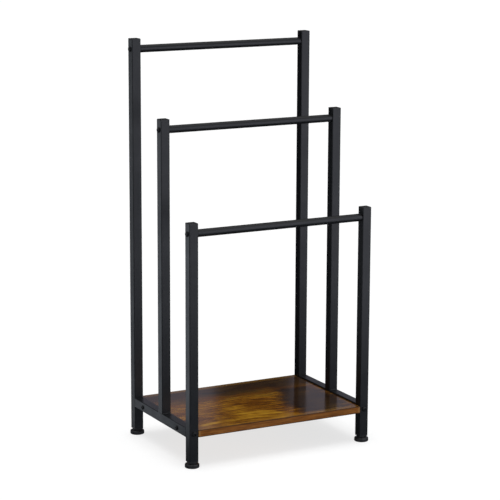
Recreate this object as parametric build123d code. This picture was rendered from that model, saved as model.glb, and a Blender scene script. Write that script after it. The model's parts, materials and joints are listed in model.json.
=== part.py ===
from build123d import *
import os

# Free-standing towel rack: three hanging rails stepped down from back to front, and a shelf near the floor.
# Millimetres. +Z is up, +X is to the right and -Y is the front.
# The origin is on the floor, at the centre of the footprint.

# ---- Overall sizes ----
frame_width = 422.0  # over the outer faces of the posts
frame_depth = 286.0  # from the front posts' front faces to the back posts' back faces
back_height = 850.0  # floor to the top of the cap, back posts
middle_height = 699.0
front_height = 507.0
middle_post_shift = -3.6  # middle posts' centre from mid-depth
side_rail_height = 62.0  # floor to the underside of the side rails

# ---- Square tube of the posts and side rails ----
tube_size = 20.0
tube_wall = 1.0
tube_corner = 1.5  # outside corner radius

# ---- Hanging rails ----
hanging_rail_diameter = 16.0
hanging_rail_wall = 1.0
hanging_rail_drop = 22.0  # top of the cap to the rail's axis

# ---- Shelf ----
shelf_thickness = 15.0
shelf_recess = 3.0  # top of the side rails to the top of the shelf
shelf_edge_round = 0.8
shelf_side_gap = 0.25  # between the shelf's ends and each side rail
shelf_screw_inset = 40.0  # corner posts' inner faces to the shelf screws

# ---- Caps on the post tops ----
cap_flange = 3.5
cap_edge_round = 1.2
cap_plug_depth = 10.0
cap_plug_wall = 1.5

# ---- Plugs with a thread, pushed into the tube ends ----
plug_length = 16.0
push_fit_gap = 0.05  # between a plug or insert and the wall round it

# ---- Frame bolts: button heads with a hexagon socket ----
bolt_thread = 6.0
bolt_reach = 14.0  # how far a bolt goes into its plug
bolt_head_diameter = 10.8
bolt_head_height = 3.3
bolt_socket = 4.0  # across flats
bolt_socket_depth = 2.0
bolt_hole_gap = 0.3  # all round the bolt, in the posts' walls

# ---- Shelf screws, and their inserts in the shelf's ends ----
screw_thread = 5.0
screw_reach = 12.0
screw_head_diameter = 9.0
screw_head_height = 2.6
screw_socket = 3.0
screw_socket_depth = 1.6
insert_diameter = 9.0
insert_length = 13.0

# ---- Levelling feet ----
pad_diameter = 30.0
pad_height = 8.5
pad_top_round = 3.0
pad_bottom_round = 1.6
hub_diameter = 20.0
hub_height = 3.2
foot_gap = 0.3  # between the hub and the insert above it, screwed right in
foot_flange = 2.0  # flange of the insert in the post's bottom end
foot_plug_length = 18.0
stud_thread = 8.0
stud_length = 25.0  # above the hub
stud_head_diameter = 13.0
stud_head_height = 4.0
stud_head_floor = 1.8  # plastic under the stud's head
pad_gap = 0.3  # above and below the stud's head

# ---- Shared by every screw, bolt and stud ----
thread_gap = 0.05  # radial, between every thread and the one it turns in
thread_end_chamfer = 0.1  # as a share of the thread's diameter
button_round = 0.75  # as a share of a button head's height

# ---- Worked out from the sizes above ----
tube_inside = tube_size - 2 * tube_wall
post_x = (frame_width - tube_size) / 2
inner_x = frame_width / 2 - tube_size
corner_y = (frame_depth - tube_size) / 2
inner_y = frame_depth / 2 - tube_size
side_rail_top = side_rail_height + tube_size
side_rail_middle = side_rail_height + tube_size / 2
shelf_top = side_rail_top - shelf_recess
shelf_middle = shelf_top - shelf_thickness / 2
shelf_half_width = inner_x - shelf_side_gap
foot_insert_bottom = pad_height + hub_height + foot_gap
post_bottom = foot_insert_bottom + foot_flange

SIDES = {"left": -1, "right": 1}
ROWS = {
    "back": (corner_y, back_height),
    "middle": (middle_post_shift, middle_height),
    "front": (-corner_y, front_height),
}
CORNERS = {
    f"{side}_{row}": (SIDES[side] * post_x, ROWS[row][0])
    for side in SIDES
    for row in ("back", "front")
}


def rod(diameter, start, end):
    """A round bar between two points."""
    run = Vector(*end) - Vector(*start)
    return extrude(Plane(origin=start, z_dir=run) * Circle(diameter / 2), amount=run.length)


def square_tube(length):
    """A length of the frame's tube, standing on the XY plane."""
    outside = RectangleRounded(tube_size, tube_size, tube_corner)
    inside = RectangleRounded(tube_inside, tube_inside, tube_corner - tube_wall)
    return extrude(outside - inside, amount=length)


def square_plug(length):
    """What fills the end of the frame's tube, standing on the XY plane."""
    size = tube_inside - 2 * push_fit_gap
    corner = tube_corner - tube_wall - push_fit_gap
    return extrude(RectangleRounded(size, size, corner), amount=length)


def socket_bolt(thread, length, head_diameter, head_height, socket, socket_depth):
    """A button-head bolt with its head above the XY plane and its shank below."""
    shank = rod(thread - 2 * thread_gap, (0, 0, 0), (0, 0, -length))
    shank = chamfer(shank.edges().sort_by(Axis.Z)[0], thread_end_chamfer * thread)
    head = rod(head_diameter, (0, 0, 0), (0, 0, head_height))
    head = fillet(head.edges().sort_by(Axis.Z)[-1], button_round * head_height)
    hexagon = RegularPolygon(socket / 2, 6, major_radius=False)
    recess = extrude(Pos(0, 0, head_height) * hexagon, amount=-socket_depth)
    return head + shank - recess


def frame_bolt():
    """The bolt that goes through a post into a threaded plug."""
    length = tube_size + bolt_reach
    sizes = (bolt_head_diameter, bolt_head_height, bolt_socket, bolt_socket_depth)
    return socket_bolt(bolt_thread, length, *sizes)


def placed(piece, seat, outward):
    """A piece moved so that its own +Z points outward from the seat."""
    return Plane(origin=seat, z_dir=outward).location * piece


def across_post(x, y, z):
    """The bolt hole through a post from its outer face to its inner face."""
    return rod(bolt_thread + 2 * bolt_hole_gap, (x - tube_size, y, z), (x + tube_size, y, z))


def corner_post(x, y, height):
    """A post at a corner of the frame, with holes for the hanging rail's bolt and the side rail's bolt."""
    tube = Pos(x, y, post_bottom) * square_tube(height - cap_flange - post_bottom)
    low_hole = rod(
        bolt_thread + 2 * bolt_hole_gap,
        (x, y - tube_size, side_rail_middle),
        (x, y + tube_size, side_rail_middle),
    )
    return tube - across_post(x, y, height - hanging_rail_drop) - low_hole


def middle_post(x, y, height):
    """A post that stands on the side rail, with one hole for the hanging rail's bolt."""
    tube = Pos(x, y, side_rail_top) * square_tube(height - cap_flange - side_rail_top)
    return tube - across_post(x, y, height - hanging_rail_drop)


def side_rail(x):
    """The rail between the front and back posts, with two holes across it for the shelf screws."""
    rail = Plane(origin=(x, -inner_y, side_rail_middle), z_dir=(0, 1, 0)) * square_tube(2 * inner_y)
    hole = screw_thread + 2 * bolt_hole_gap
    for y in shelf_screw_places():
        rail -= rod(hole, (x - tube_size, y, shelf_middle), (x + tube_size, y, shelf_middle))
    return rail


def shelf_screw_places():
    """How far along the side rails the shelf screws are."""
    place = inner_y - shelf_screw_inset
    return (-place, place)


def hanging_rail(y, height):
    """A round tube between the inner faces of two posts."""
    z = height - hanging_rail_drop
    ends = (-inner_x, y, z), (inner_x, y, z)
    inside = hanging_rail_diameter - 2 * hanging_rail_wall
    return rod(hanging_rail_diameter, *ends) - rod(inside, *ends)


def hanging_rail_plug(side, y, height):
    """The threaded plug in one end of a hanging rail."""
    z = height - hanging_rail_drop
    ends = (side * inner_x, y, z), (side * (inner_x - plug_length), y, z)
    outside = hanging_rail_diameter - 2 * hanging_rail_wall - 2 * push_fit_gap
    return rod(outside, *ends) - rod(bolt_thread, *ends)


def side_rail_plug(x, front_or_back):
    """The threaded plug in one end of a side rail."""
    start = (x, front_or_back * inner_y, side_rail_middle)
    end = (x, front_or_back * (inner_y - plug_length), side_rail_middle)
    plug = Plane(origin=start, z_dir=(0, -front_or_back, 0)) * square_plug(plug_length)
    return plug - rod(bolt_thread, start, end)


def post_cap():
    """A cap with its flange above the XY plane and its hollow plug below."""
    flange = extrude(RectangleRounded(tube_size, tube_size, tube_corner), amount=cap_flange)
    flange = fillet(flange.faces().sort_by(Axis.Z)[-1].edges(), cap_edge_round)
    plug = Pos(0, 0, -cap_plug_depth) * square_plug(cap_plug_depth)
    hollow_size = tube_inside - 2 * push_fit_gap - 2 * cap_plug_wall
    hollow = extrude(Pos(0, 0, -cap_plug_depth) * Rectangle(hollow_size, hollow_size), amount=cap_plug_depth)
    return flange + (plug - hollow)


def shelf_board():
    """The shelf, with blind holes in its ends for the inserts."""
    board = Box(2 * shelf_half_width, frame_depth, shelf_thickness)
    board = fillet(board.edges().filter_by(Axis.X) + board.edges().filter_by(Axis.Y), shelf_edge_round)
    board = Pos(0, 0, shelf_middle) * board
    for side in SIDES.values():
        for y in shelf_screw_places():
            board -= insert_space(side, y, insert_diameter + 2 * push_fit_gap)
    return board


def insert_space(side, y, diameter):
    """The round space that an insert takes up in one end of the shelf."""
    mouth = (side * shelf_half_width, y, shelf_middle)
    back = (side * (shelf_half_width - insert_length), y, shelf_middle)
    return rod(diameter, mouth, back)


def shelf_insert(side, y):
    """A threaded insert in one end of the shelf."""
    return insert_space(side, y, insert_diameter) - insert_space(side, y, screw_thread)


def shelf_screw(side, y):
    """A screw through the side rail into the shelf's insert."""
    length = tube_size + shelf_side_gap + screw_reach
    sizes = (screw_head_diameter, screw_head_height, screw_socket, screw_socket_depth)
    screw = socket_bolt(screw_thread, length, *sizes)
    return placed(screw, (side * frame_width / 2, y, shelf_middle), (side, 0, 0))


def foot_insert(x, y):
    """The flanged insert in a corner post's bottom end, threaded right through for the foot's stud."""
    flange = Pos(x, y, foot_insert_bottom) * extrude(
        RectangleRounded(tube_size, tube_size, tube_corner), amount=foot_flange
    )
    plug = Pos(x, y, post_bottom) * square_plug(foot_plug_length)
    bore = rod(stud_thread, (x, y, 0), (x, y, post_bottom + foot_plug_length))
    return flange + plug - bore


def foot_stud(x, y):
    """The foot's stud, with a round head that sits inside the pad."""
    head_bottom = stud_head_floor + pad_gap
    head_top = head_bottom + stud_head_height
    stud_top = pad_height + hub_height + stud_length
    head = rod(stud_head_diameter, (x, y, head_bottom), (x, y, head_top))
    stud = rod(stud_thread - 2 * thread_gap, (x, y, head_bottom), (x, y, stud_top))
    return head + chamfer(stud.edges().sort_by(Axis.Z)[-1], thread_end_chamfer * stud_thread)


def foot_pad(x, y):
    """The foot's pad and hub, with the space for the stud and its head."""
    pad = rod(pad_diameter, (x, y, 0), (x, y, pad_height))
    pad = fillet(pad.edges().sort_by(Axis.Z)[-1], pad_top_round)
    pad = fillet(pad.edges().sort_by(Axis.Z)[0], pad_bottom_round)
    hub = rod(hub_diameter, (x, y, stud_head_floor), (x, y, pad_height + hub_height))
    head_space_top = stud_head_floor + stud_head_height + 2 * pad_gap
    head_space = rod(
        stud_head_diameter + 2 * thread_gap, (x, y, stud_head_floor), (x, y, head_space_top)
    )
    stud_space = rod(stud_thread, (x, y, stud_head_floor), (x, y, pad_height + hub_height))
    return pad + hub - head_space - stud_space


def build():
    """Every node of the rack by name."""
    nodes = {}
    for row, (y, height) in ROWS.items():
        nodes[f"{row}_hanging_rail"] = hanging_rail(y, height)
        for side, sign in SIDES.items():
            post = middle_post if row == "middle" else corner_post
            nodes[f"{side}_{row}_post"] = post(sign * post_x, y, height)
            nodes[f"{side}_{row}_post_cap"] = Pos(sign * post_x, y, height - cap_flange) * post_cap()
    for side, sign in SIDES.items():
        nodes[f"{side}_side_rail"] = side_rail(sign * post_x)

    nodes["hanging_rail_plugs"] = Compound(
        children=[
            hanging_rail_plug(sign, y, height) for y, height in ROWS.values() for sign in SIDES.values()
        ]
    )
    nodes["hanging_rail_bolts"] = Compound(
        children=[
            placed(frame_bolt(), (sign * frame_width / 2, y, height - hanging_rail_drop), (sign, 0, 0))
            for y, height in ROWS.values()
            for sign in SIDES.values()
        ]
    )
    nodes["side_rail_plugs"] = Compound(
        children=[
            side_rail_plug(sign * post_x, way) for sign in SIDES.values() for way in (-1, 1)
        ]
    )
    nodes["side_rail_bolts"] = Compound(
        children=[
            placed(frame_bolt(), (sign * post_x, way * frame_depth / 2, side_rail_middle), (0, way, 0))
            for sign in SIDES.values()
            for way in (-1, 1)
        ]
    )

    nodes["shelf_board"] = shelf_board()
    ends = [(sign, y) for sign in SIDES.values() for y in shelf_screw_places()]
    nodes["shelf_inserts"] = Compound(children=[shelf_insert(sign, y) for sign, y in ends])
    nodes["shelf_screws"] = Compound(children=[shelf_screw(sign, y) for sign, y in ends])

    nodes["foot_inserts"] = Compound(children=[foot_insert(x, y) for x, y in CORNERS.values()])
    for corner, (x, y) in CORNERS.items():
        nodes[f"{corner}_foot_stud"] = foot_stud(x, y)
        nodes[f"{corner}_foot_pad"] = foot_pad(x, y)
    return nodes


os.makedirs("parts", exist_ok=True)
for name, shape in build().items():
    export_step(shape, f"parts/{name}.step")
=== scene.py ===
import json
import math

import bpy
import numpy as np
from mathutils import Matrix, Vector


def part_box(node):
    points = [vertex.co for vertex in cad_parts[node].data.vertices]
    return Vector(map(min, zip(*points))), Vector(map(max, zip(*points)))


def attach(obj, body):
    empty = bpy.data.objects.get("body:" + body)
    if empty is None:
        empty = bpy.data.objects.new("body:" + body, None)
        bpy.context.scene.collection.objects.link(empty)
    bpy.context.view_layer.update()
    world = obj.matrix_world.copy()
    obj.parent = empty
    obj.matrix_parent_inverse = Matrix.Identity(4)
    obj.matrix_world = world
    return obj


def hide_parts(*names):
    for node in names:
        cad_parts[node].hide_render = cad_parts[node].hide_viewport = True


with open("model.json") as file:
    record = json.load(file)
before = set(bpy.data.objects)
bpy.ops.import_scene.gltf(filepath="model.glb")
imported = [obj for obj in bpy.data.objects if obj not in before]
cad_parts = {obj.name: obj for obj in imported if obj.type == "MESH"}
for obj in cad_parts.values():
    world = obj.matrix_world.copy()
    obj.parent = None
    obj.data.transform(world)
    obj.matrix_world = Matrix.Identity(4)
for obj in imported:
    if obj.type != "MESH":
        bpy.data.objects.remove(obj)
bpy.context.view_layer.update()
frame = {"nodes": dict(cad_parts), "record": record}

# A free-standing towel rack: black square-tube frame, three round hanging rails and a rustic brown shelf.
# Metres. +Z is up, +X is to the rack's right and -Y is its front.

MM = 0.001

# ---- Welds at the feet of the middle posts ----
CORNER_WELD = 2.2 * MM  # radius of the beads in front of and behind a middle post
FLUSH_WELD_DEPTH = 1.25 * MM  # half-width, into the tube, of the ground welds on its two sides
FLUSH_WELD_HEIGHT = 1.7 * MM
FLUSH_WELD_PROUD = 0.12 * MM  # how far a ground weld stands out of the tube
WELD_INSET = 0.8  # of the tube's corner radius, from the tube's side to the end of a weld
TUBE_CORNER = 1.5 * MM  # radius of the tube's edges
RIPPLE_SPACING = 1.3 * MM
RIPPLE_SWELL = 0.055  # share of a bead's size, at the crest of each ripple
RIPPLE_TRAIL = 0.45  # how far a ripple is set back at a bead's sides, in spacings
BEAD_END = 0.02  # radians left off each end of a bead's half turn, so that it ends in a small flat

# ---- Edges of the shelf board's finish ----
# Each pair is two distances in from the board's side, end or face: where a change begins and is complete.
EDGE_BAND = (0.9 * MM, 0.3 * MM)
PALE_STRIP = (22 * MM, 6 * MM)  # the paler strip of the top, beside a band
PALE_BAND_END = (6 * MM, 2 * MM)  # the paler end of a band
SIDE_LINE = (2.2 * MM, 0.7 * MM)  # the dark line along the edges, measured from the board's side
FACE_LINE = (2.6 * MM, 1.0 * MM)  # the same line, measured from its top or underside

# ---- Threads of the levelling feet's studs ----
THREAD_PITCH = 1.25 * MM
THREAD_DEPTH = 0.77 * MM
THREAD_STRETCH = 1.35  # of the triangle wave, so that it is cut off flat at the root
THREAD_CREST = 0.12  # taken off the stretched wave, so that it is flat at the crest too
STUD_RADIUS = 3.95 * MM
STUD_HEAD = 4.0 * MM  # height of the head inside the pad
STUD_HEAD_EDGES = (0.4 * MM, 0.3 * MM)  # chamfers of the head, below and above
STUD_END_CHAMFER = 0.8 * MM


# ================================================================ shapes

def surface_piece(name, grid):
    """A mesh over a grid of points, rows by columns by xyz. Each row's points join up into a ring.

    The first and last rings are shut with one fan of triangles each, about their mean points.
    """
    rows, columns = grid.shape[:2]
    points = grid.reshape(-1, 3)
    row, column = np.meshgrid(np.arange(rows - 1), np.arange(columns), indexing="ij")
    here = row * columns
    beside = (column + 1) % columns
    quads = np.stack(
        (here + column, here + beside, here + columns + beside, here + columns + column),
        axis=-1,
    ).reshape(-1, 4)
    faces = quads.tolist()
    first, last = len(points), len(points) + 1
    points = np.vstack((points, grid[0].mean(axis=0), grid[-1].mean(axis=0)))
    ring = np.arange(columns)
    after = (ring + 1) % columns
    top = (rows - 1) * columns
    faces += np.stack((after, ring, np.full(columns, first)), axis=-1).tolist()
    faces += np.stack((top + ring, top + after, np.full(columns, last)), axis=-1).tolist()
    mesh = bpy.data.meshes.new(name)
    mesh.from_pydata(points.tolist(), [], faces)
    mesh.shade_smooth()
    piece = bpy.data.objects.new(name, mesh)
    bpy.context.scene.collection.objects.link(piece)
    return piece


def weld_bead(name, start, end, half_width, half_height):
    """A bead of weld along a straight level seam, with the ripples that a torch leaves.

    Its cross-section is an ellipse about the seam, half_width to each side and half_height up and down.
    Its size grows from a small flat at each end, as the fourth root of one minus the eighth power of the
    way from the middle. The ripples are a cosine of the distance along, set back at the sides.
    """
    along, around = 96, 28
    start, end = np.array(start, float), np.array(end, float)
    length = np.linalg.norm(end - start)
    up = np.array((0.0, 0.0, 1.0))
    aside = np.cross(up, (end - start) / length)
    way = -np.cos(np.linspace(BEAD_END, math.pi - BEAD_END, along))[:, None]
    angle = np.linspace(0.0, 2 * math.pi, around, endpoint=False)[None, :]
    distance = (way + 1) / 2 * length
    trail = RIPPLE_TRAIL * RIPPLE_SPACING * np.cos(angle) ** 2
    ripple = 1 + RIPPLE_SWELL * np.cos(2 * math.pi * (distance + trail) / RIPPLE_SPACING)
    size = np.clip(1 - way**8, 0, 1) ** 0.25 * ripple
    middle = start + (end - start) * (way[..., None] + 1) / 2
    grid = (
        middle
        + (size * np.cos(angle) * half_width)[..., None] * aside
        + (size * np.sin(angle) * half_height)[..., None] * up
    )
    return surface_piece(name, grid)


def threaded_stud(name, centre, low, high, head_radius):
    """A stud with a round head below and a screw thread above.

    The thread's radius is the stud's radius less a triangle wave of the height in pitches minus the turn.
    The wave is cut off flat at the crest and at the root. The last part of the thread is held below a
    45 degree chamfer, and the head's two edges are chamfered.
    """
    around, steps = 40, 10
    turn = np.linspace(0.0, 1.0, around, endpoint=False)[None, :]
    head_top = low + STUD_HEAD
    rise = np.arange(head_top, high, THREAD_PITCH / steps)
    height = np.append(rise, high)[:, None]
    wave = np.abs(((height / THREAD_PITCH - turn) % 1.0) * 2 - 1)
    depth = THREAD_DEPTH * np.clip(wave * THREAD_STRETCH - THREAD_CREST, 0, 1)
    shank = np.minimum(STUD_RADIUS - depth, STUD_RADIUS - STUD_END_CHAMFER + (high - height))
    below, above = STUD_HEAD_EDGES
    head_radii = np.array([head_radius - below, head_radius, head_radius, head_radius - above])[:, None]
    head_heights = np.array([low, low + below, head_top - above, head_top])[:, None]
    radii = np.vstack((np.repeat(head_radii, around, axis=1), shank))
    heights = np.vstack((head_heights, height))
    angle = 2 * math.pi * turn
    grid = np.stack(
        (
            centre[0] + radii * np.cos(angle),
            centre[1] + radii * np.sin(angle),
            np.broadcast_to(heights, radii.shape),
        ),
        axis=-1,
    )
    return surface_piece(name, grid)


# ================================================================ finishes

def plug_in(tree, socket, value):
    """Links a socket's value in, or sets it where the value is a plain one."""
    if isinstance(value, bpy.types.NodeSocket):
        tree.links.new(value, socket)
    else:
        socket.default_value = value


def add_node(tree, kind, inputs, **settings):
    """A node of a kind, with its settings and with its sockets linked or set."""
    node = tree.nodes.new(kind)
    for key, value in settings.items():
        setattr(node, key, value)
    for socket, value in inputs.items():
        plug_in(tree, node.inputs[socket], value)
    return node


class Finish:
    """A material's nodes, with one short method for each kind that the finishes use."""

    def __init__(self, name):
        self.material = bpy.data.materials.new(name)
        self.material.use_nodes = True
        self.tree = self.material.node_tree
        self.shader = self.tree.nodes["Principled BSDF"]
        self.place = self.add("ShaderNodeTexCoord", {}).outputs["Object"]

    def add(self, kind, inputs, **settings):
        return add_node(self.tree, kind, inputs, **settings)

    def set(self, **values):
        """Sets the shader's own sockets, named in words joined by underscores."""
        for key, value in values.items():
            name = {"specular": "Specular IOR Level"}.get(key, key.replace("_", " ").title())
            plug_in(self.tree, self.shader.inputs[name], value)

    def stretched(self, scale, at=None):
        """The place on the object, stretched or squeezed along its axes."""
        inputs = {"Vector": at or self.place, "Scale": scale}
        return self.add("ShaderNodeMapping", inputs).outputs["Vector"]

    def split(self):
        """The place on the object as three values."""
        parts = self.add("ShaderNodeSeparateXYZ", {"Vector": self.place}).outputs
        return parts["X"], parts["Y"], parts["Z"]

    def noise(self, at, scale, detail=2.0, roughness=0.5):
        inputs = {"Vector": at, "Scale": scale, "Detail": detail, "Roughness": roughness}
        return self.add("ShaderNodeTexNoise", inputs).outputs["Fac"]

    def maths(self, operation, a, b=0.0):
        return self.add("ShaderNodeMath", {0: a, 1: b}, operation=operation).outputs[0]

    def between(self, value, low, high, to_low=0.0, to_high=1.0):
        """The value carried smoothly from one range to another, and held at its ends."""
        inputs = {"Value": value, "From Min": low, "From Max": high, "To Min": to_low, "To Max": to_high}
        return self.add("ShaderNodeMapRange", inputs, interpolation_type="SMOOTHSTEP").outputs["Result"]

    def near_end(self, value, end, margin, share=1.0):
        """A share that comes in smoothly as the value nears its end, between a margin's two distances."""
        start, full = margin
        return self.between(value, end - start, end - full, 0.0, share)

    def ramp(self, value, stops):
        """A colour for each value: stops are pairs of a value and a colour."""
        node = self.add("ShaderNodeValToRGB", {"Fac": value})
        points = node.color_ramp.elements
        while len(points) < len(stops):
            points.new(0.5)
        for point, (position, colour) in zip(points, stops):
            point.position = position
            point.color = (*colour, 1)
        return node.outputs["Color"]

    def mixed(self, share, a, b):
        """The first colour with a share of the second."""
        node = self.add("ShaderNodeMix", {"Factor": share}, data_type="RGBA")
        for socket, colour in ((node.inputs[6], a), (node.inputs[7], b)):
            plug_in(self.tree, socket, colour if isinstance(colour, bpy.types.NodeSocket) else (*colour, 1))
        return node.outputs[2]

    def spot(self, centre, reach, loose):
        """One at a centre and nothing past its reach along each axis, its outline loosened by a value."""
        place = [-middle / radius for middle, radius in zip(centre, reach)]
        scale = [1 / radius for radius in reach]
        inputs = {"Vector": self.place, "Location": place, "Scale": scale}
        away = self.add("ShaderNodeMapping", inputs).outputs["Vector"]
        away = self.add("ShaderNodeVectorMath", {0: away}, operation="LENGTH").outputs["Value"]
        return self.between(self.maths("ADD", away, loose), 1.0, 0.5)

    def bump(self, height, depth, strength, under=None):
        """The surface's normal where a height stands out by up to a depth, over another bump if given."""
        inputs = {"Height": height, "Distance": depth, "Strength": strength}
        if under:
            inputs["Normal"] = under
        return self.add("ShaderNodeBump", inputs).outputs["Normal"]


def powder_coat():
    """Satin black powder coat: orange peel and a fine grain, with a slightly uneven sheen."""
    coat = Finish("powder_coat")
    peel = coat.noise(coat.place, 520.0, detail=1.5)
    grain = coat.noise(coat.place, 2600.0, detail=2.0, roughness=0.6)
    cloud = coat.noise(coat.place, 22.0, detail=3.0, roughness=0.6)
    colour = coat.ramp(cloud, ((0.3, (0.0036, 0.0038, 0.0046)), (0.7, (0.0048, 0.0051, 0.0060))))
    speck = coat.between(grain, 0.6, 0.75)
    coat.set(
        base_color=coat.mixed(speck, colour, (0.009, 0.0095, 0.011)),
        roughness=coat.between(cloud, 0.3, 0.7, 0.31, 0.38),
        specular=0.45,
        normal=coat.bump(grain, 0.03 * MM, 0.5, under=coat.bump(peel, 0.12 * MM, 0.35)),
    )
    return coat.material


def moulded_plastic():
    """Matt black plastic with the fine even grain of a spark-eroded mould."""
    plastic = Finish("moulded_plastic")
    grain = plastic.noise(plastic.place, 1500.0, detail=3.0, roughness=0.65)
    cloud = plastic.noise(plastic.place, 60.0, detail=2.0)
    plastic.set(
        base_color=plastic.ramp(cloud, ((0.3, (0.0085, 0.0087, 0.0095)), (0.7, (0.012, 0.0122, 0.013)))),
        roughness=plastic.between(grain, 0.3, 0.7, 0.38, 0.5),
        specular=0.5,
        normal=plastic.bump(grain, 0.05 * MM, 0.4),
    )
    return plastic.material


def black_oxide():
    """Blackened steel: as dark as the paint and smoother, with faint turning marks."""
    steel = Finish("black_oxide")
    cloud = steel.noise(steel.place, 240.0, detail=3.0, roughness=0.6)
    marks = steel.noise(steel.stretched((300, 3500, 3500)), 1.0, detail=2.0)
    steel.set(
        base_color=steel.ramp(cloud, ((0.35, (0.0018, 0.0018, 0.0021)), (0.75, (0.0045, 0.0045, 0.0052)))),
        roughness=steel.between(cloud, 0.3, 0.7, 0.28, 0.38),
        specular=0.4,
        normal=steel.bump(marks, 0.02 * MM, 0.4),
    )
    return steel.material


def zinc_plate():
    """Bright zinc on steel, with fine streaks round the axis and slightly dull patches."""
    zinc = Finish("zinc_plate")
    streaks = zinc.noise(zinc.stretched((150, 150, 5000)), 1.0, detail=3.0, roughness=0.6)
    cloud = zinc.noise(zinc.place, 130.0, detail=3.0)
    zinc.set(
        base_color=zinc.ramp(cloud, ((0.3, (0.42, 0.43, 0.45)), (0.7, (0.58, 0.59, 0.6)))),
        metallic=1.0,
        roughness=zinc.between(streaks, 0.3, 0.7, 0.24, 0.42),
        normal=zinc.bump(streaks, 0.02 * MM, 0.3),
    )
    return zinc.material


def rustic_board():
    """Printed rustic brown wood, satin, with smoky patches: ochre, with a painted pool of light at the
    front and painted shade at the back and to the right.
    """
    wood = Finish("rustic_board")
    low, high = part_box("shelf_board")
    x, y, z = wood.split()

    # The place on the board, pushed sideways by slow waves, so that the grain wanders.
    sway = wood.noise(wood.stretched((4.0, 9.0, 9.0)), 1.0, detail=2.0)
    pushed = wood.add(
        "ShaderNodeCombineXYZ",
        {"X": x, "Y": wood.maths("ADD", y, wood.maths("MULTIPLY", sway, 0.07)), "Z": z},
    ).outputs[0]

    figure = wood.noise(wood.stretched((4.5, 44.0, 44.0), pushed), 1.0, detail=4.0, roughness=0.55)
    rings = wood.maths("MULTIPLY", wood.maths("PINGPONG", wood.maths("MULTIPLY", figure, 6.5), 0.5), 2.0)
    fibres = wood.noise(wood.stretched((30.0, 900.0, 900.0), pushed), 1.0, detail=4.0, roughness=0.7)
    pores = wood.noise(wood.stretched((80.0, 1900.0, 1900.0), pushed), 1.0, detail=1.0)
    streaks = wood.noise(wood.stretched((11.0, 230.0, 230.0), pushed), 1.0, detail=3.0, roughness=0.65)
    patches = wood.noise(wood.stretched((13.0, 21.0, 21.0), pushed), 1.0, detail=3.0, roughness=0.6)

    tone = wood.maths("ADD", wood.maths("MULTIPLY", rings, 0.22), wood.maths("MULTIPLY", fibres, 0.40))
    tone = wood.maths("ADD", tone, wood.maths("MULTIPLY", wood.maths("SUBTRACT", streaks, 0.5), 0.75))
    tone = wood.maths("ADD", tone, wood.maths("MULTIPLY", wood.maths("SUBTRACT", patches, 0.43), 1.15))
    # A painted pool of light: the top is paler in a spot at the front left.
    painted_light_spot = wood.spot((-0.040, -0.092, high.z), (0.095, 0.060, 1.0), wood.maths("MULTIPLY", patches, 0.6))
    tone = wood.maths("ADD", tone, wood.maths("MULTIPLY", painted_light_spot, 0.16))
    colour = wood.ramp(
        tone,
        (
            (0.08, (0.036, 0.0110, 0.0016)),
            (0.28, (0.105, 0.0340, 0.0026)),
            (0.46, (0.190, 0.0760, 0.0048)),
            (0.62, (0.330, 0.1600, 0.0100)),
            (0.84, (0.460, 0.2650, 0.0300)),
        ),
    )

    # Painted shade along the back and in a patch to the right of the middle, and smoky areas of the print
    # wherever the pattern has them.
    smoke_and_painted_shade = wood.between(wood.noise(wood.stretched((6.5, 12.0, 12.0), pushed), 1.0, detail=2.0), 0.54, 0.74)
    loose = wood.maths("ADD", patches, wood.maths("MULTIPLY", streaks, 0.8))
    loose = wood.maths("MULTIPLY", wood.maths("SUBTRACT", loose, 0.9), 0.16)
    # Painted shade along the back of the board.
    back = wood.between(wood.maths("ADD", y, loose), 0.015, 0.095, 0.0, 0.95)
    # Painted shade in a patch to the right of the middle.
    right = wood.spot((0.128, -0.055, high.z), (0.085, 0.150, 1.0), wood.maths("MULTIPLY", loose, 5.0))
    smoke_and_painted_shade = wood.maths("MAXIMUM", wood.maths("MAXIMUM", smoke_and_painted_shade, back), wood.maths("MULTIPLY", right, 0.95))
    smoke_and_shade_tone = wood.maths("ADD", fibres, wood.maths("MULTIPLY", streaks, 2.0))
    smoke_and_shade_tone = wood.maths("MULTIPLY", smoke_and_shade_tone, 1 / 3)
    smoke_and_shade_colour = wood.ramp(
        smoke_and_shade_tone,
        (
            (0.36, (0.0045, 0.0036, 0.0036)),
            (0.64, (0.0280, 0.0165, 0.0105)),
        ),
    )
    colour = wood.mixed(wood.maths("MULTIPLY", smoke_and_painted_shade, 0.97), colour, smoke_and_shade_colour)
    cracks = wood.between(pores, 0.66, 0.76)
    colour = wood.mixed(wood.maths("MULTIPLY", cracks, 0.5), colour, (0.022, 0.0095, 0.004))

    # Bands on the long edges, a shade redder, paler towards their ends. The top is a little paler in a
    # strip beside them, and there is a dark line where they meet the top and the underside.
    across = wood.maths("ABSOLUTE", y)
    pale_strip = wood.near_end(across, high.y, PALE_STRIP, 0.22)
    colour = wood.mixed(pale_strip, colour, (0.420, 0.200, 0.030))
    band = wood.near_end(across, high.y, EDGE_BAND)
    band_tone = wood.noise(wood.stretched((30.0, 10.0, 420.0)), 1.0, detail=4.0, roughness=0.65)
    band_colour = wood.ramp(
        band_tone,
        (
            (0.30, (0.110, 0.036, 0.0068)),
            (0.50, (0.205, 0.073, 0.0125)),
            (0.75, (0.330, 0.130, 0.0240)),
        ),
    )
    pale_band_end = wood.near_end(wood.maths("ABSOLUTE", x), high.x, PALE_BAND_END, 0.6)
    band_colour = wood.mixed(pale_band_end, band_colour, (0.300, 0.165, 0.060))
    colour = wood.mixed(band, colour, band_colour)
    half = (high.z - low.z) / 2
    up = wood.maths("ABSOLUTE", wood.maths("SUBTRACT", z, low.z + half))
    near_side = wood.near_end(across, high.y, SIDE_LINE)
    near_face = wood.near_end(up, half, FACE_LINE)
    edge = wood.maths("MULTIPLY", near_side, near_face)
    colour = wood.mixed(wood.maths("MULTIPLY", edge, 0.9), colour, (0.050, 0.0175, 0.0022))

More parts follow.
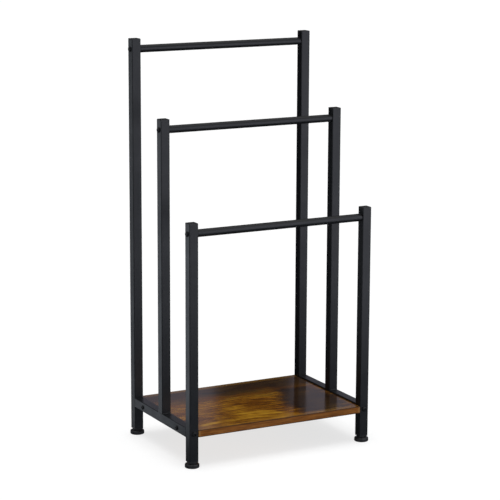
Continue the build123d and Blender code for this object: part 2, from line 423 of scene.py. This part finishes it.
    height = wood.maths("MULTIPLY", fibres, 0.5)
    height = wood.maths("SUBTRACT", height, wood.maths("MULTIPLY", cracks, 0.8))
    wood.set(
        base_color=colour,
        roughness=wood.between(fibres, 0.25, 0.75, 0.19, 0.14),
        specular=0.25,
        normal=wood.bump(height, 0.05 * MM, 0.5),
    )
    return wood.material


def floor_paint():
    """The plain pale floor, with some light of its own so that its shadows stay pale."""
    floor = Finish("floor_paint")
    floor.set(base_color=(0.27, 0.27, 0.27, 1), roughness=0.9, specular=0.0)
    floor.set(emission_color=(1, 1, 1, 1), emission_strength=0.74)
    return floor.material


# ================================================================ camera, lights and floor

def add_camera():
    """The camera stands to the left of the rack's front and a little above it, far off with a long lens."""
    azimuth, elevation, roll = math.radians(-28.008), math.radians(11.691), math.radians(0.247)
    distance, aim_height = 4.1728, 0.43
    aside, lift = 0.00109, -0.02087
    focal_length, sensor_width = 143.08, 36
    back = Vector(
        (
            math.sin(azimuth) * math.cos(elevation),
            -math.cos(azimuth) * math.cos(elevation),
            math.sin(elevation),
        )
    )
    right = (-back).cross(Vector((0, 0, 1))).normalized()
    up = back.cross(right)
    right, up = right * math.cos(roll) + up * math.sin(roll), up * math.cos(roll) - right * math.sin(roll)
    camera = bpy.data.objects.new("camera", bpy.data.cameras.new("camera"))
    camera.data.sensor_width = sensor_width
    camera.data.lens = focal_length
    place = Vector((0, 0, aim_height)) + back * distance + right * aside + up * lift
    camera.matrix_world = Matrix.Translation(place) @ Matrix((right, up, back)).transposed().to_4x4()
    bpy.context.scene.collection.objects.link(camera)
    bpy.context.scene.camera = camera


def add_light(name, kind, place, aim, strength, **settings):
    """A light that stands at a place and faces the point it aims at. The camera doesn't see it.

    The sun lights the surfaces and shows in no reflection. A panel shows only in reflections, so it casts
    no shadow of its own.
    """
    light = bpy.data.lights.new(name, kind)
    light.energy = strength
    for key, value in settings.items():
        setattr(light, key, value)
    stand = bpy.data.objects.new(name, light)
    stand.location = place
    stand.rotation_euler = (Vector(aim) - Vector(place)).to_track_quat("-Z", "Y").to_euler()
    stand.visible_camera = False
    stand.visible_diffuse = kind == "SUN"
    stand.visible_glossy = kind != "SUN"
    bpy.context.scene.collection.objects.link(stand)


def add_room():
    """A white room as the camera sees it. As a light it is brightest overhead, and dim behind the rack."""
    world = bpy.data.worlds.new("room")
    world.use_nodes = True
    tree = world.node_tree
    tree.nodes.clear()

    direction = add_node(tree, "ShaderNodeTexCoord", {}).outputs["Generated"]
    way = add_node(tree, "ShaderNodeSeparateXYZ", {"Vector": direction}).outputs
    parts = []
    for axis, low, high, dim, bright, colour in (
        ("Y", 0.3, -0.9, 0.010, 0.15, (0.80, 0.97, 1.20, 1)),  # towards the front
        ("Z", 0.42, 0.95, 0.0, 0.78, (1, 1, 1, 1)),  # towards the ceiling
    ):
        inputs = {"Value": way[axis], "From Min": low, "From Max": high, "To Min": dim, "To Max": bright}
        growth = add_node(tree, "ShaderNodeMapRange", inputs, interpolation_type="SMOOTHSTEP")
        inputs = {"Color": colour, "Strength": growth.outputs["Result"]}
        parts.append(add_node(tree, "ShaderNodeBackground", inputs).outputs[0])
    room = add_node(tree, "ShaderNodeAddShader", {0: parts[0], 1: parts[1]}).outputs[0]
    seen = add_node(tree, "ShaderNodeBackground", {"Color": (1, 1, 1, 1), "Strength": 1.0}).outputs[0]
    camera_ray = add_node(tree, "ShaderNodeLightPath", {}).outputs["Is Camera Ray"]
    mix = add_node(tree, "ShaderNodeMixShader", {0: camera_ray, 1: room, 2: seen}).outputs[0]
    add_node(tree, "ShaderNodeOutputWorld", {"Surface": mix})
    bpy.context.scene.world = world


def add_studio():
    """A wide soft light overhead, and panels on all sides that show in the satin paint."""
    add_room()
    add_light("overhead", "SUN", (0, 0, 3), (0, 0, 0), 2.1, angle=math.radians(46))
    blue, cool, violet = (0.90, 0.97, 1.07), (0.93, 0.97, 1.07), (0.93, 0.89, 1.08)
    pale_blue = (0.965, 0.975, 1.09)
    frame_middle = (0, 0, 0.45)
    panels = (
        # name, place, aim, watts, width, height, spread in degrees, colour
        ("left_panel", (-0.68, 0.515, 0.455), (-0.45, 0.085, 0.555), 0.277, 0.56, 1.19, 70, blue),
        ("back_panel", (0.36, 1.2, 0.4), (0.36, 0, 0.4), 0.18, 0.34, 0.6, 180, violet),
        ("right_panel", (0.99, 1.2, 0.4), (0.99, 0, 0.4), 0.22, 0.42, 0.6, 180, violet),
        ("front_panel", (0.72, -1.2, 0.73), (0, 0, 0.67), 7.2, 1.2, 1.64, 180, pale_blue),
        ("far_left_panel", (-2.4, -0.25, 0.5), frame_middle, 3.8, 1.6, 1.3, 180, cool),
        ("far_right_panel", (2.4, -0.25, 0.5), frame_middle, 3.8, 1.6, 1.3, 180, cool),
        ("front_left_panel", (-1.75, -1.75, 0.5), frame_middle, 2.6, 0.9, 1.3, 180, cool),
        ("back_right_panel", (1.9, 1.6, 0.5), frame_middle, 2.6, 0.9, 1.3, 180, cool),
    )
    for name, place, aim, strength, width, height, spread, colour in panels:
        add_light(
            name, "AREA", place, aim, strength,
            shape="RECTANGLE", size=width, size_y=height, spread=math.radians(spread), color=colour,
        )


def add_floor():
    """A wide level square under the feet, left out of reflections."""
    reach = 60
    mesh = bpy.data.meshes.new("floor")
    corners = [(-reach, -reach, 0), (reach, -reach, 0), (reach, reach, 0), (-reach, reach, 0)]
    mesh.from_pydata(corners, [], [(0, 1, 2, 3)])
    mesh.materials.append(floor_paint())
    floor = bpy.data.objects.new("floor", mesh)
    floor.visible_glossy = False
    floor.visible_shadow = False
    bpy.context.scene.collection.objects.link(floor)


# ================================================================ the rack

FINISHES = {
    "frame_paint": powder_coat(),
    "black_plastic": moulded_plastic(),
    "black_fasteners": black_oxide(),
    "bare_steel": zinc_plate(),
    "shelf_wood": rustic_board(),
}


def dress_nodes():
    """Gives every CAD node the finish of its material slot."""
    for part in frame["record"]["subparts"]:
        materials = frame["nodes"][part["node"]].data.materials
        materials.clear()
        materials.append(FINISHES[part["material_slot"]])


def finish_piece(piece, slot, body):
    """Gives a new piece the material of its slot and the body that it moves with."""
    piece.data.materials.append(FINISHES[slot])
    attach(piece, body)


def add_welds(side):
    """The welds round a middle post's foot: beads in front and behind, and a ground one on each side."""
    low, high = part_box(f"{side}_middle_post")
    inset = WELD_INSET * TUBE_CORNER
    for place, y in (("front", low.y), ("back", high.y)):
        start, end = (low.x + inset, y, low.z), (high.x - inset, y, low.z)
        piece = weld_bead(f"{side}_{place}_weld", start, end, CORNER_WELD, CORNER_WELD)
        finish_piece(piece, "frame_paint", "root")
    seam = low.z - TUBE_CORNER / 2
    depth = FLUSH_WELD_DEPTH - FLUSH_WELD_PROUD
    for place, x, inward in (("left", low.x, 1), ("right", high.x, -1)):
        start = (x + inward * depth, low.y + inset, seam)
        end = (x + inward * depth, high.y - inset, seam)
        piece = weld_bead(f"{side}_{place}_ground_weld", start, end, FLUSH_WELD_DEPTH, FLUSH_WELD_HEIGHT)
        finish_piece(piece, "frame_paint", "root")


def add_stud(corner):
    """A foot's stud with its thread cut, in place of the plain one."""
    node = f"{corner}_foot_stud"
    low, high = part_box(node)
    centre = ((low.x + high.x) / 2, (low.y + high.y) / 2)
    piece = threaded_stud(f"{corner}_threaded_stud", centre, low.z, high.z, (high.x - low.x) / 2)
    finish_piece(piece, "bare_steel", f"{corner}_stud")
    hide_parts(node)


dress_nodes()
for side in ("left", "right"):
    add_welds(side)
    for row in ("back", "front"):
        add_stud(f"{side}_{row}")
bpy.context.scene.view_settings.view_transform = "Standard"
add_camera()
add_studio()
add_floor()
